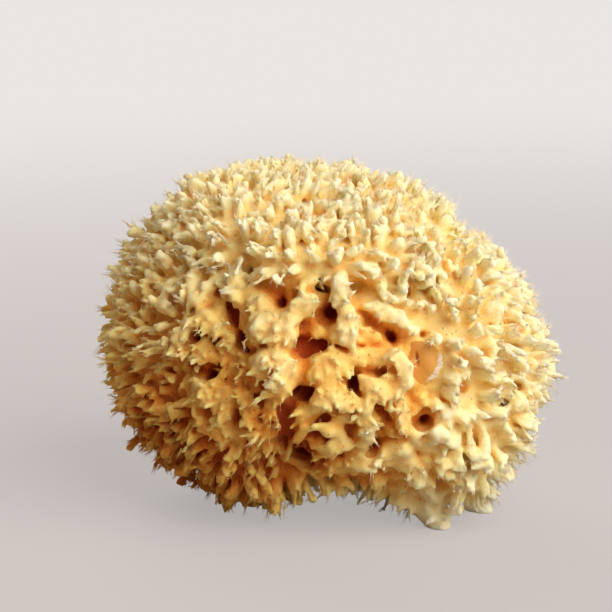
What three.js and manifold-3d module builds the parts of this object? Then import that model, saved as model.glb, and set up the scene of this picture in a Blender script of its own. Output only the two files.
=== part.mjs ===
// Natural sea sponge for bathing and grooming, dried, standing on its feet.
// One skeleton of soft fibre, drawn as it grew: a core in two halves, plump lobes over it, tufts on the lobes,
// canals that open on the front, feet underneath, and a flake of shell caught in a pit of the front.
// Millimetres and degrees, +Z up. Azimuth 0 is the front (-Y), 90 the right (+X); elevation 90 is straight up.
import * as THREE from 'three';
import { mergeVertices } from 'three/addons/utils/BufferGeometryUtils.js';
import Module from 'manifold-3d';

const wasm = await Module();
wasm.setup();

// Core: an egg-shaped mass, longer than deep, turned so that its right end comes forward
const CORE_HALF_LENGTH = 43.5;
const CORE_HALF_DEPTH = 30.5;
const CORE_HALF_HEIGHT = 28.5;
const CORE_YAW = -24;
const CORE_ROLL = 9;
const CORE_CENTRE_HEIGHT = 41;

// Where the upper half of the core meets the lower half, measured from the floor
const SEAM_HEIGHT = 37;

// Gap kept between neighbouring pieces
const SEAT_GAP = 0.3;

// Tufts: tapered points of fibre that cover the lobes
const TUFT_LENGTH = 5.4;
const TUFT_RADIUS = 2;
const TUFT_SIDES = 4;
const TUFT_ROOT = 2;
const TUFT_SPACING = 7.2;
const TUFT_CLEARANCE = 1;
const TUFT_TRIES = 260;

// Canals: round openings that run from the skin into the core
const CANAL_DEPTH = 9;
const CANAL_TAPER = 0.7;
const CANAL_SIDES = 8;

// Feet: each leans in, so that its root stands at this share of its sole's distance from the middle
const SOLE_RADIUS = 3.2;
const FOOT_ROOT_RADIUS = 11;
const FOOT_HEIGHT = 16;
const FOOT_LEAN = 0.5;

// Pit in the front skin and the shell flake caught in it
const PIT_AZIMUTH = 31;
const PIT_ELEVATION = 4;
const PIT_RADIUS = 5.4;
const PIT_DEPTH = 2.6;
const FLAKE_THICKNESS = 0.7;
const FLAKE_CROWN = 1.4;
const FLAKE_CLEARANCE = 0.6;
const FLAKE_ARC_STEPS = 3;

// Facets of the rounded pieces, how lumpy they are, and the two waves that the lumps follow
const CORE_DETAIL = 3;
const LOBE_DETAIL = 3;
const ROUND_SIDES = 16;
const LUMP = 0.03;
const LUMP_WAVE = new THREE.Vector3(5, 0, 2);
const LUMP_CROSS_WAVE = new THREE.Vector3(0, 4, -3);

// Lobes of the upper half, which go down when the sponge is pressed. The widest come first.
const UPPER_LOBES = [
  { name: 'crown_lobe', azimuth: 320, elevation: 80, halfWidth: 38, halfHeight: 31, swell: 11 },
  { name: 'front_upper_lobe', azimuth: 20, elevation: 22, halfWidth: 31, halfHeight: 22, swell: 9.5 },
  { name: 'left_upper_lobe', azimuth: 278, elevation: 22, halfWidth: 28, halfHeight: 23, swell: 10.5 },
  { name: 'right_upper_lobe', azimuth: 82, elevation: 24, halfWidth: 30, halfHeight: 22, swell: 9.5 },
  { name: 'rear_right_upper_lobe', azimuth: 146, elevation: 26, halfWidth: 28, halfHeight: 21, swell: 9.5 },
  { name: 'rear_left_upper_lobe', azimuth: 212, elevation: 26, halfWidth: 28, halfHeight: 21, swell: 9.5 },
  { name: 'front_left_upper_lobe', azimuth: 326, elevation: 24, halfWidth: 26, halfHeight: 21, swell: 9.5 },
];

// Lobes of the lower half, which the sponge crumples first
const LOWER_LOBES = [
  { name: 'front_lower_lobe', azimuth: 26, elevation: -24, halfWidth: 30, halfHeight: 19, swell: 9.5 },
  { name: 'left_lower_lobe', azimuth: 276, elevation: -28, halfWidth: 30, halfHeight: 24, swell: 14.5 },
  { name: 'right_lower_lobe', azimuth: 82, elevation: -22, halfWidth: 28, halfHeight: 21, swell: 6.5 },
  { name: 'rear_right_lower_lobe', azimuth: 148, elevation: -26, halfWidth: 28, halfHeight: 21, swell: 9.5 },
  { name: 'rear_left_lower_lobe', azimuth: 212, elevation: -26, halfWidth: 28, halfHeight: 21, swell: 9.5 },
  { name: 'front_right_lobe', azimuth: 55, elevation: -1, halfWidth: 19, halfHeight: 15, swell: 8.5 },
  { name: 'rear_right_lobe', azimuth: 117, elevation: -3, halfWidth: 20, halfHeight: 15, swell: 9.5 },
  { name: 'rear_left_lobe', azimuth: 246, elevation: -3, halfWidth: 21, halfHeight: 16, swell: 9.5 },
  { name: 'front_left_lower_lobe', azimuth: 326, elevation: -28, halfWidth: 26, halfHeight: 19, swell: 10.5 },
];

// Feet: stance is how far each stands from under the core's centre
const FEET = [
  { name: 'front_foot', azimuth: 50, stance: 36 },
  { name: 'right_foot', azimuth: 77, stance: 40 },
  { name: 'left_foot', azimuth: 282, stance: 19 },
  { name: 'rear_foot', azimuth: 168, stance: 25 },
  { name: 'rear_left_foot', azimuth: 230, stance: 32 },
];

// Canals that open on the front, by the direction of the mouth from the core's centre
const CANALS = [
  { azimuth: 11, elevation: 29, radius: 2.8 },
  { azimuth: 1, elevation: 23, radius: 2.4 },
  { azimuth: 20, elevation: 14, radius: 2.4 },
  { azimuth: 8, elevation: 0, radius: 2.2 },
  { azimuth: 28, elevation: -11, radius: 1.7 },
  { azimuth: 322, elevation: 0, radius: 2.6 },
  { azimuth: 14, elevation: -19, radius: 2.2 },
  { azimuth: 41, elevation: -5, radius: 3 },
  { azimuth: 343, elevation: 26, radius: 1.6 },
  { azimuth: 355, elevation: -1, radius: 2.1 },
  { azimuth: 356, elevation: 12, radius: 2.6 },
  { azimuth: 51, elevation: -8, radius: 2.3 },
  { azimuth: 334, elevation: 12, radius: 1.9 },
];

const FIBRE_PALE = { color: 0xe6c982, roughness: 0.95, metalness: 0 };
const FIBRE_DEEP = { color: 0xc9812f, roughness: 0.95, metalness: 0 };
const SHELL = { color: 0xd9a66a, roughness: 0.45, metalness: 0 };

const UP = new THREE.Vector3(0, 0, 1);
const coreCentre = new THREE.Vector3(0, 0, CORE_CENTRE_HEIGHT);
const coreRoll = new THREE.Euler(0, THREE.MathUtils.degToRad(CORE_ROLL), THREE.MathUtils.degToRad(CORE_YAW), 'ZYX');
const coreTurn = new THREE.Quaternion().setFromEuler(coreRoll);
const reach = 4 * (CORE_HALF_LENGTH + CORE_HALF_DEPTH + CORE_HALF_HEIGHT);

// A closed geometry as a solid that can be joined and cut
function solidOf(geometry) {
  const bare = geometry.clone();
  bare.deleteAttribute('normal');
  bare.deleteAttribute('uv');
  const merged = mergeVertices(bare);
  const mesh = new wasm.Mesh({
    numProp: 3,
    vertProperties: merged.attributes.position.array,
    triVerts: new Uint32Array(merged.index.array),
  });
  return new wasm.Manifold(mesh);
}

// A named mesh of a solid
function meshOf(name, solid, finish) {
  const made = solid.getMesh();
  const geometry = new THREE.BufferGeometry();
  geometry.setAttribute('position', new THREE.BufferAttribute(made.vertProperties, made.numProp));
  geometry.setIndex(new THREE.BufferAttribute(made.triVerts, 1));
  geometry.computeVertexNormals();
  const mesh = new THREE.Mesh(geometry, new THREE.MeshStandardMaterial(finish));
  mesh.name = name;
  return mesh;
}

// Unit vector for an azimuth and elevation
function direction(azimuth, elevation) {
  const a = THREE.MathUtils.degToRad(azimuth);
  const e = THREE.MathUtils.degToRad(elevation);
  return new THREE.Vector3(Math.sin(a) * Math.cos(e), -Math.cos(a) * Math.cos(e), Math.sin(e));
}

// An ellipsoid as centre, axes and radii, with the tests that the pieces need
class Ellipsoid {
  constructor(centre, axes, radii) {
    this.centre = centre;
    this.axes = axes;
    this.radii = radii;
  }

  // Below 1 inside, above 1 outside, once the radii have grown by the margin
  level(point, margin) {
    const offset = point.clone().sub(this.centre);
    const parts = this.axes.map((axis, i) => offset.dot(axis) / (this.radii[i] + margin));
    return Math.hypot(...parts);
  }

  pointToward(way) {
    return this.centre.clone().addScaledVector(way, 1 / this.level(this.centre.clone().add(way), 0));
  }

  normalAt(point) {
    const offset = point.clone().sub(this.centre);
    const normal = new THREE.Vector3();
    this.axes.forEach((axis, i) => normal.addScaledVector(axis, offset.dot(axis) / this.radii[i] ** 2));
    return normal.normalize();
  }

  // Lumpy closed surface, grown by the margin
  geometry(detail, margin) {
    const shape = new THREE.IcosahedronGeometry(1, detail);
    const place = shape.attributes.position;
    const unit = new THREE.Vector3();
    for (let i = 0; i < place.count; i += 1) {
      unit.fromBufferAttribute(place, i);
      const lump = 1 + LUMP * Math.sin(LUMP_WAVE.dot(unit)) * Math.sin(LUMP_CROSS_WAVE.dot(unit));
      const point = this.centre.clone();
      const steps = [unit.x, unit.y, unit.z];
      this.axes.forEach((axis, k) => point.addScaledVector(axis, steps[k] * (this.radii[k] * lump + margin)));
      place.setXYZ(i, point.x, point.y, point.z);
    }
    return shape;
  }
}

const turned = (x, y, z) => new THREE.Vector3(x, y, z).applyQuaternion(coreTurn);
const core = new Ellipsoid(
  coreCentre,
  [turned(1, 0, 0), turned(0, 1, 0), turned(0, 0, 1)],
  [CORE_HALF_LENGTH, CORE_HALF_DEPTH, CORE_HALF_HEIGHT],
);

// A lobe's ellipsoid sits on the core's surface: across, up and outward axes
function lobeForm({ azimuth, elevation, halfWidth, halfHeight, swell }) {
  const seat = core.pointToward(direction(azimuth, elevation));
  const outward = core.normalAt(seat);
  const across = new THREE.Vector3().crossVectors(direction(azimuth, 0), UP).negate().normalize();
  const upward = new THREE.Vector3().crossVectors(outward, across).normalize();
  const level = new THREE.Vector3().crossVectors(upward, outward).normalize();
  return new Ellipsoid(seat, [level, upward, outward], [halfWidth, halfHeight, swell]);
}

// A cone or cylinder from one point to another
function rodBetween(from, to, startRadius, endRadius, sides) {
  const span = to.clone().sub(from);
  const rod = new THREE.CylinderGeometry(endRadius, startRadius, span.length(), sides);
  const turn = new THREE.Quaternion().setFromUnitVectors(new THREE.Vector3(0, 1, 0), span.clone().normalize());
  rod.applyQuaternion(turn);
  rod.translate(...from.clone().addScaledVector(span, 0.5).toArray());
  return rod;
}

// A block that fills everything below a height
function blockBelow(height) {
  return solidOf(new THREE.BoxGeometry(reach, reach, reach).translate(0, 0, height - reach / 2));
}

// A block that fills everything above a height
function blockAbove(height) {
  return solidOf(new THREE.BoxGeometry(reach, reach, reach).translate(0, 0, height + reach / 2));
}

const lobes = [...UPPER_LOBES, ...LOWER_LOBES].map((lobe) => ({ ...lobe, form: lobeForm(lobe) }));

// The mouth of a canal or pit: the outermost skin in its direction
function mouthToward(azimuth, elevation) {
  const way = direction(azimuth, elevation);
  let far = core.pointToward(way);
  for (let step = far.distanceTo(coreCentre); step < reach; step += SEAT_GAP) {
    const point = coreCentre.clone().addScaledVector(way, step);
    if (lobes.some(({ form }) => form.level(point, 0) < 1)) {
      far = point;
    }
  }
  return far;
}

// A canal runs in from the skin toward the core's centre, and narrows
function canalRod({ azimuth, elevation, radius }) {
  const mouth = mouthToward(azimuth, elevation);
  const inward = coreCentre.clone().sub(mouth).normalize();
  const outside = mouth.clone().addScaledVector(inward, -TUFT_LENGTH);
  const end = mouth.clone().addScaledVector(inward, CANAL_DEPTH);
  return { from: outside, to: end, radius };
}

const canals = CANALS.map(canalRod);
const canalCuts = canals.map(({ from, to, radius }) =>
  solidOf(rodBetween(from, to, radius, radius * CANAL_TAPER, CANAL_SIDES)));

// The pit that holds the shell flake: a round pocket, square to the skin
const pitMouth = mouthToward(PIT_AZIMUTH, PIT_ELEVATION);
const pitInward = coreCentre.clone().sub(pitMouth).normalize();
const pitFloor = pitMouth.clone().addScaledVector(pitInward, PIT_DEPTH);
const pitStart = pitMouth.clone().addScaledVector(pitInward, -TUFT_LENGTH);
const pitCut = solidOf(rodBetween(pitStart, pitFloor, PIT_RADIUS, PIT_RADIUS, ROUND_SIDES));
const openings = [...canals, { from: pitStart, to: pitFloor, radius: PIT_RADIUS }];

// A foot leans in from its sole on the floor to a point in the lower core
function footRod({ azimuth, stance }) {
  const sole = direction(azimuth, 0).multiplyScalar(stance);
  const from = sole.clone().addScaledVector(UP, -SEAT_GAP);
  const to = sole.clone().multiplyScalar(FOOT_LEAN).addScaledVector(UP, CORE_CENTRE_HEIGHT / 2);
  return { from, to, radius: FOOT_ROOT_RADIUS };
}

// Tufts stand square to a lobe, clear of its neighbours, of each other, of the openings and of the feet
const keptClear = [...openings, ...FEET.map(footRod)];
const tufts = [];

function tuftIsClear(tuft, lobe) {
  const high = Math.min(tuft.root.z, tuft.tip.z) > TUFT_RADIUS;
  const free = [tuft.root, tuft.middle, tuft.tip].every((point) =>
    core.level(point, TUFT_RADIUS + TUFT_CLEARANCE) > 1
    && lobes.every((other) => other === lobe || other.form.level(point, TUFT_RADIUS + TUFT_CLEARANCE) > 1));
  const apart = tufts.every((other) => tuft.root.distanceTo(other.root) > TUFT_SPACING
    && tuft.tip.distanceTo(other.tip) > TUFT_SPACING / 2);
  const clear = keptClear.every(({ from, to, radius }) => [tuft.root, tuft.middle, tuft.tip].every((point) => {
    const nearest = new THREE.Line3(from, to).closestPointToPoint(point, true, new THREE.Vector3());
    return nearest.distanceTo(point) > radius + TUFT_RADIUS + TUFT_CLEARANCE;
  }));
  return high && free && apart && clear;
}

function growTufts(lobe) {
  const goldenAngle = Math.PI * (3 - Math.sqrt(5));
  const grown = [];
  for (let i = 0; i < TUFT_TRIES; i += 1) {
    const outwardShare = 1 - i / TUFT_TRIES;
    const ring = Math.sqrt(1 - outwardShare ** 2);
    const angle = goldenAngle * i;
    const steps = [ring * Math.cos(angle), ring * Math.sin(angle), outwardShare];
    const root = lobe.form.centre.clone();
    lobe.form.axes.forEach((axis, k) => root.addScaledVector(axis, steps[k] * lobe.form.radii[k]));
    const normal = lobe.form.normalAt(root);
    const tuft = {
      root,
      middle: root.clone().addScaledVector(normal, TUFT_LENGTH / 2),
      tip: root.clone().addScaledVector(normal, TUFT_LENGTH),
    };
    if (tuftIsClear(tuft, lobe)) {
      tufts.push(tuft);
      grown.push(tuft);
    }
  }
  return grown;
}

function tuftSolid({ root, tip }) {
  const sunk = root.clone().addScaledVector(tip.clone().sub(root).normalize(), -TUFT_ROOT);
  return solidOf(rodBetween(sunk, tip, TUFT_RADIUS, 0, TUFT_SIDES));
}

// Cuts every canal and the pit out of a piece
function withOpenings(solid) {
  return [...canalCuts, pitCut].reduce((left, cut) => left.subtract(cut), solid);
}

// The largest body of a cut piece, without the slivers that a cut can leave
function mainBody(solid) {
  return solid.decompose().reduce((best, body) => (body.volume() > best.volume() ? body : best));
}

const floorBlock = blockBelow(0);
const grownCore = solidOf(core.geometry(CORE_DETAIL, SEAT_GAP));
const takenSpace = [grownCore];

// A lobe, cut by the core and by the lobes before it
function lobeSolid(lobe) {
  const body = solidOf(lobe.form.geometry(LOBE_DETAIL, 0));
  const cutBody = mainBody(takenSpace.reduce((left, taken) => left.subtract(taken), body));
  takenSpace.push(solidOf(lobe.form.geometry(LOBE_DETAIL, SEAT_GAP)));
  const tufted = growTufts(lobe).map(tuftSolid).reduce((left, tuft) => left.add(tuft), cutBody);
  return mainBody(withOpenings(tufted.subtract(floorBlock)));
}

// A foot: a blunt cone that widens upward, cut by all that it meets
function footSolid(foot) {
  const { from, to } = footRod(foot);
  const cone = solidOf(rodBetween(from, to, SOLE_RADIUS, FOOT_ROOT_RADIUS, ROUND_SIDES));
  const trimmed = cone.subtract(floorBlock).subtract(blockAbove(FOOT_HEIGHT));
  const stump = takenSpace.reduce((left, taken) => left.subtract(taken), trimmed);
  takenSpace.push(solidOf(rodBetween(from, to, SOLE_RADIUS + SEAT_GAP, FOOT_ROOT_RADIUS + SEAT_GAP, ROUND_SIDES)));
  return mainBody(stump);
}

// The shell flake: a thin domed disc that lies on the floor of the pit
function flakeSolid() {
  const radius = PIT_RADIUS - FLAKE_CLEARANCE;
  const dome = (radius ** 2 + FLAKE_CROWN ** 2) / (2 * FLAKE_CROWN);
  const rimAngle = Math.asin(radius / dome);
  const outline = new THREE.Path();
  outline.moveTo(0, FLAKE_CROWN + FLAKE_THICKNESS);
  outline.absarc(0, FLAKE_CROWN + FLAKE_THICKNESS - dome, dome, Math.PI / 2, Math.PI / 2 - rimAngle, true);
  outline.lineTo(radius, 0);
  outline.absarc(0, FLAKE_CROWN - dome, dome, Math.PI / 2 - rimAngle, Math.PI / 2, false);
  const disc = new THREE.LatheGeometry(outline.getPoints(FLAKE_ARC_STEPS).reverse(), ROUND_SIDES);
  const flake = disc.rotateX(Math.PI / 2);
  const turn = new THREE.Quaternion().setFromUnitVectors(UP, pitInward.clone().negate());
  flake.applyQuaternion(turn);
  const seat = pitFloor.clone().addScaledVector(pitInward, -SEAT_GAP);
  return solidOf(flake.translate(...seat.toArray()));
}

const crown = new THREE.Group();
const base = new THREE.Group();

const coreSolid = withOpenings(solidOf(core.geometry(CORE_DETAIL, 0)));
crown.add(meshOf('upper_core', coreSolid.subtract(blockBelow(SEAM_HEIGHT + SEAT_GAP / 2)), FIBRE_DEEP));
base.add(meshOf('lower_core', coreSolid.subtract(blockAbove(SEAM_HEIGHT - SEAT_GAP / 2)), FIBRE_DEEP));
for (const lobe of lobes) {
  const half = UPPER_LOBES.some(({ name }) => name === lobe.name) ? crown : base;
  half.add(meshOf(lobe.name, lobeSolid(lobe), FIBRE_PALE));
}
for (const foot of FEET) {
  base.add(meshOf(foot.name, footSolid(foot), FIBRE_PALE));
}
crown.add(meshOf('shell_flake', flakeSolid(), SHELL));

// The origin is on the floor under the middle of the whole sponge
const sponge = new THREE.Group();
sponge.add(base, crown);
const middle = new THREE.Box3().setFromObject(sponge).getCenter(new THREE.Vector3());
base.position.set(-middle.x, -middle.y, 0);
crown.position.copy(base.position);

export default sponge;
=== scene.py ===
# Natural sea sponge: one grown mass of soft fibre with tufts, smooth valleys, open canals and feet,
# and a flake of shell caught in a pit of its front. Lengths are in millimetres until a mesh is made.
import math
from typing import NamedTuple

import bpy
import numpy as np
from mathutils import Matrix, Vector


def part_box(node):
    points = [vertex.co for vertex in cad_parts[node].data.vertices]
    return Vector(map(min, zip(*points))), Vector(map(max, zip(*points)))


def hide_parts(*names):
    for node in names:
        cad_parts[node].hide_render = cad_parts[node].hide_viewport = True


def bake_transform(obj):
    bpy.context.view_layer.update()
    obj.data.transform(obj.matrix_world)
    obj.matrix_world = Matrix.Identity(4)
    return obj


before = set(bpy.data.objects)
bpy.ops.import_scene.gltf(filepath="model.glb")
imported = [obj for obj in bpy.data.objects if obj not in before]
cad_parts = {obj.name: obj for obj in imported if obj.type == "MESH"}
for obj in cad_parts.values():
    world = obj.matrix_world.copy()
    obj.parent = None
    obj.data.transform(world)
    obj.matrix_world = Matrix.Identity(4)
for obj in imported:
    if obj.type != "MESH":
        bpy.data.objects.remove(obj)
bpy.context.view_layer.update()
scene = bpy.context.scene

MM = 0.001

# Seeds of the random draws: for the base and its canals, and for all that grows on it
SEED = 7
RIDGE_SEED = 11

# Camera: where the photograph was taken from
IMAGE_PIXELS = 612
CAMERA_ELEVATION = 12.5
CAMERA_DISTANCE = 550.0
MM_PER_PIXEL = 0.247
AIM_PIXEL = (320, 333)
AIM_HEIGHT = 43.0
SENSOR_WIDTH = 36.0

# Search along a camera ray: reach before and after the aim, and step
RAY_BEFORE = 80.0
RAY_AFTER = 60.0
RAY_STEP = 0.25

# Core of the sponge
CORE_RADII = (43.5, 30.5, 28.5)
CORE_YAW = -24.0
CORE_ROLL = 9.0
CORE_CENTRE_HEIGHT = 41.0

# Lobes on the core: azimuth, elevation, half width, half height, swell
LOBES = {
    "crown_lobe": (320, 80, 38, 31, 11),
    "front_upper_lobe": (20, 22, 31, 22, 9.5),
    "left_upper_lobe": (278, 22, 28, 23, 10.5),
    "right_upper_lobe": (82, 24, 30, 22, 9.5),
    "rear_right_upper_lobe": (146, 26, 28, 21, 9.5),
    "rear_left_upper_lobe": (212, 26, 28, 21, 9.5),
    "front_left_upper_lobe": (326, 24, 26, 21, 9.5),
    "front_lower_lobe": (26, -24, 30, 19, 9.5),
    "left_lower_lobe": (276, -28, 30, 24, 14.5),
    "right_lower_lobe": (82, -22, 28, 21, 6.5),
    "rear_right_lower_lobe": (148, -26, 28, 21, 9.5),
    "rear_left_lower_lobe": (212, -26, 28, 21, 9.5),
    "front_right_lobe": (55, -1, 19, 15, 8.5),
    "rear_right_lobe": (117, -3, 20, 15, 9.5),
    "rear_left_lobe": (246, -3, 21, 16, 9.5),
    "front_left_lower_lobe": (326, -28, 26, 19, 10.5),
}

# Base: how softly its forms join, how far the skin lies below them, the waves of the skin
LOBE_BLEND = 5.0
BASE_SINK = 1.6
BASE_WAVES = 0.7
BASE_WAVELENGTH = 18.0

# How far the rods of fibre waver
WARP = 0.35
WARP_WAVELENGTH = 6.0

# Feet: azimuth, distance from under the core's centre
FEET = {
    "front_foot": (50, 36),
    "right_foot": (77, 40),
    "left_foot": (282, 19),
    "rear_foot": (168, 25),
    "rear_left_foot": (230, 32),
}
SOLE_RADIUS = 3.2
SOLE_ROUNDING = 1.0
FOOT_ROOT_RADIUS = 11.0
FOOT_ROOT_SHARE = 0.55
FOOT_TUFTS_BELOW = 6.0

# Hollows under the ridges at the lower left of the front: pixel, radius of the scoop, depth
HOLLOWS = [(296, 460, 9.5, 5.0), (350, 487, 8.0, 3.6)]

# Share of the fur's height that is left in the hollows
HOLLOW_FUR = 0.4

# Canals seen in the photograph: pixel, radius, depth
PHOTO_CANALS = [
    (281, 300, 1.3, 4), (359, 289, 2.4, 4), (329, 309, 2.0, 4), (390, 334, 1.9, 5), (355, 384, 2.1, 5),
    (424, 423, 1.7, 5), (219, 373, 2.2, 6), (372, 443, 2.0, 5), (463, 391, 2.4, 3), (505, 404, 1.2, 3),
    (305, 450, 2.4, 5), (311, 392, 1.6, 4), (300, 346, 2.2, 2), (247, 337, 1.5, 4), (292, 389, 1.2, 4),
    (410, 292, 0.9, 4), (344, 247, 0.9, 4), (271, 235, 1.0, 4), (200, 335, 1.0, 4), (424, 333, 1.0, 3),
    (480, 352, 1.0, 3),
]

# Form of a canal: share of the depth that is cut, start above the skin, softness of its edge
CANAL_DEPTH = 0.75
CANAL_ABOVE = 1.5
CANAL_EDGE = 1.6

# A canal and its side mouth: shares of the radius at the mouth and the end
CANAL_RADII = (1.1, 0.55)
MOUTH_RADII = (0.7, 0.5)
MOUTH_OFFSET = 0.8
MOUTH_BLEND = 0.8

# Canals that the photograph doesn't show: the depth is a number of radii and a little more
HIDDEN_SPACING = 11.0
HIDDEN_CLEAR = 5.0
HIDDEN_LOWEST = 6.0
HIDDEN_FACING = -0.3
HIDDEN_RADIUS = (0.9, 2.4)
HIDDEN_LEAN = 0.25
HIDDEN_RADII_DEEP = (2.0, 3.0)
HIDDEN_MORE = 2.0

# Crevices seen in the photograph: from pixel, to pixel, radius, depth below the skin
PHOTO_CREVICES = [
    (252, 276, 318, 285, 2.0, 2.0), (196, 303, 216, 318, 1.8, 2.0), (296, 372, 306, 396, 1.5, 1.5),
    (330, 338, 310, 352, 1.6, 1.0), (196, 345, 210, 352, 1.5, 1.5), (243, 352, 256, 345, 1.2, 1.5),
]
CREVICE_EDGE = 1.5

# Room around a cut for its soft edge
CUT_MARGIN = 3.0

# Ridges of the front, as the photograph shows them: radius, height over the skin, pixels along the crest
PHOTO_RIDGES = [
    (2.3, 3.4, [(230, 277), (243, 289), (256, 303), (268, 317), (281, 327), (287, 338)]),
    (2.0, 3.6, [(268, 317), (289, 318), (303, 307), (311, 300)]),
    (2.2, 3.0, [(262, 311), (254, 324), (258, 337)]),
    (2.0, 3.4, [(193, 326), (206, 318), (221, 326), (233, 337)]),
    (2.0, 3.0, [(192, 347), (207, 350), (217, 358)]),
    (2.1, 2.8, [(228, 357), (243, 357), (250, 370), (257, 384)]),
    (2.7, 3.6, [(264, 363), (278, 357), (289, 368), (284, 382), (277, 392)]),
    (2.4, 3.6, [(200, 388), (215, 386), (230, 394), (228, 409)]),
    (2.3, 3.2, [(242, 392), (254, 410), (266, 428), (276, 440)]),
    (1.7, 3.4, [(271, 402), (271, 416)]),
    (2.0, 2.4, [(313, 373), (319, 364), (334, 359), (352, 361), (372, 358), (390, 358)]),
    (1.8, 3.6, [(339, 284), (340, 296), (348, 310), (351, 325), (345, 338)]),
    (1.3, 3.2, [(348, 318), (337, 328), (331, 337)]),
    (1.9, 3.0, [(303, 420), (309, 410), (319, 396), (329, 381), (341, 368)]),
    (1.9, 3.8, [(323, 402), (335, 396), (351, 398), (363, 408), (371, 420), (367, 435), (361, 444)]),
    (0.9, 3.0, [(336, 427), (340, 419), (348, 417)]),
    (2.0, 3.2, [(366, 382), (377, 387), (390, 392), (401, 384), (402, 368), (394, 352)]),
    (1.5, 3.2, [(318, 456), (327, 447), (341, 442)]),
    (2.1, 2.8, [(319, 467), (336, 461), (356, 459), (382, 456), (403, 448)]),
    (1.9, 2.6, [(400, 405), (407, 418), (414, 433)]),
    (1.9, 2.4, [(370, 306), (384, 315), (400, 322)]),
    (1.8, 2.6, [(430, 440), (440, 428), (446, 412)]),
    (2.0, 2.6, [(408, 462), (424, 474), (432, 490)]),
    (1.8, 2.6, [(446, 462), (458, 478), (462, 492)]),
    (1.9, 2.8, [(206, 420), (222, 424), (238, 432)]),
]

# Build of a ridge: rise over the height in the list, radii as shares of the radius in the list
RIDGE_RISE = 1.35
RIDGE_FOOT = 1.5
RIDGE_WALL = 1.15
WALL_SPREAD = (0.85, 1.15)
RIDGE_CREST = 0.85
CREST_SPREAD = (0.7, 1.2)
RIDGE_WEB = 0.6
RIDGE_SKIRT = 1.5

# Teeth along a crest, a number for each millimetre
TEETH_DENSITY = 3.8
TOOTH_LENGTH = (0.2, 2.2)
TOOTH_RADII = (0.7, 0.24)
TOOTH_WAY = np.array([-0.5, -0.4, -0.6])
TOOTH_SCATTER = 0.75

# Strands that hang from the ridges, none at the second pixel column and most at the first
FRINGE_PIXELS = (230, 320)
FRINGE_DENSITY = 2.2
FRINGE_CLEAR = 0.6
FRINGE_LENGTH = (1.2, 3.4)
FRINGE_RADII = (0.8, 0.5, 0.24)
FRINGE_WAY = np.array([-0.65, -0.35, -0.6])
FRINGE_SCATTER = 0.3
FRINGE_CURL = 0.35

# Pull of their own weight on the tufts
SAG = np.array([0.0, 0.0, -0.5])

# Curled tufts seen in the photograph: pixel and height above the skin of each point of the curl
PHOTO_CURLS = [
    [(340, 434, 3.0), (331, 429, 5.0), (316, 427, 6.0), (302, 433, 6.5), (293, 443, 6.5), (289, 457, 6.0)],
    [(346, 442, 3.0), (331, 443, 5.0), (319, 449, 5.5), (314, 458, 5.0)],
    [(176, 280, 0.0), (168, 290, 4.0), (166, 305, 5.0), (174, 317, 3.0)],
    [(203, 272, 0.0), (193, 282, 4.5), (195, 297, 4.5), (205, 303, 2.5)],
    [(214, 306, 0.0), (203, 300, 4.0), (192, 305, 4.5), (186, 318, 3.5)],
]
CURL_RADII = (1.7, 0.35)

# Zones of bare skin in the photograph: centre and half size in pixels
RIDGE_ZONE = (312, 368, 112, 84)
FOOT_ZONE = (386, 476, 66, 44)

# Outline of these zones: its lean, its soft edge, and how far the skin has to face the camera
ZONE_LEAN = 0.7
ZONE_EDGE = 1.2
ZONE_FADE = 0.4
ZONE_FACING = -0.1
FACING_GAIN = 3.0

# Tone of the fibre, from 0 deep to 1 pale: at the skin, for each millimetre above it, for standing free. It
# is partly the fibre's own colour and partly painted shade, darker low down and where the fibre is crowded,
# in pits and between tufts
FUR_TONE = (0.62, 0.025, 0.42)
BARE_TONE = (0.25, 0.068, 0.32)

# Painted light: a paler tone in the zone at the feet, to brighten the low front that the lamps leave in shade
FOOT_PAINTED_LIGHT = 0.18

# Rusty tint and painted shade toward the base and the shaded left: full at the floor and the left, none at
# this height and at the right
RUST_AND_SHADE_HEIGHT = 70.0
RUST_AND_SHADE_SIDE = (-35.0, 25.0)
RUST_AND_SHADE_TONE = 0.8


class TuftKind(NamedTuple):
    """Fingers of a tuft: how many, how thick, how they fan out, join, curl and droop, and the tuft's size."""

    fingers: tuple
    radii: tuple
    fan: float
    web: float
    skirt: float
    curl: float = 0.0
    droop: float = 1.0
    wide: float = 1.0
    tall: float = 1.0


KNOB = TuftKind((3, 5), (1.4, 1.1, 0.5), fan=1.9, web=0.5, skirt=1.4, droop=0.4)
WART = TuftKind((1, 3), (1.0, 0.65, 0.3), fan=1.6, web=0.5, skirt=1.6, droop=0.5)
FUR = TuftKind((4, 7), (0.95, 0.76, 0.37), fan=1.5, web=0.5, skirt=0.9, curl=0.5)
PILE = TuftKind((5, 8), (0.82, 0.64, 0.31), fan=1.4, web=0.45, skirt=0.8, curl=0.5, droop=0.5)
PADDLE = TuftKind((4, 6), (0.96, 0.72, 0.31), fan=2.0, web=0.5, skirt=0.9, curl=0.6, wide=1.3, tall=1.1)
STRING = TuftKind((3, 5), (0.9, 0.66, 0.32), fan=2.0, web=0.4, skirt=0.8, curl=0.9)

# A finger: scatter, length, depth of its root, and shares of the tuft's width and curl
FINGER_JITTER = 0.09
FINGER_OFF = 0.55
FINGER_LENGTH = (0.8, 1.08)
FINGER_SINK = 1.5
FINGER_FOOT = 0.6
FINGER_WAIST = 0.8
FINGER_CURL = 0.28
FINGER_BEND = 1.4

# Fur over the whole skin, shorter on the crown and at the feet
TUFT_SPACING = 3.1
TUFT_WIDTH = (1.6, 3.0)
TUFT_HEIGHT = (4.2, 5.9)
TUFT_SCATTER = 0.2
TUFT_LEAN = 0.2
TUFT_LOWEST = 3.0
CROWN_SHORT = 0.16
FOOT_TUFT_WIDE = 0.7
FOOT_TUFT_TALL = 0.45
FOOT_TUFT_DROOP = 0.5

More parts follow.
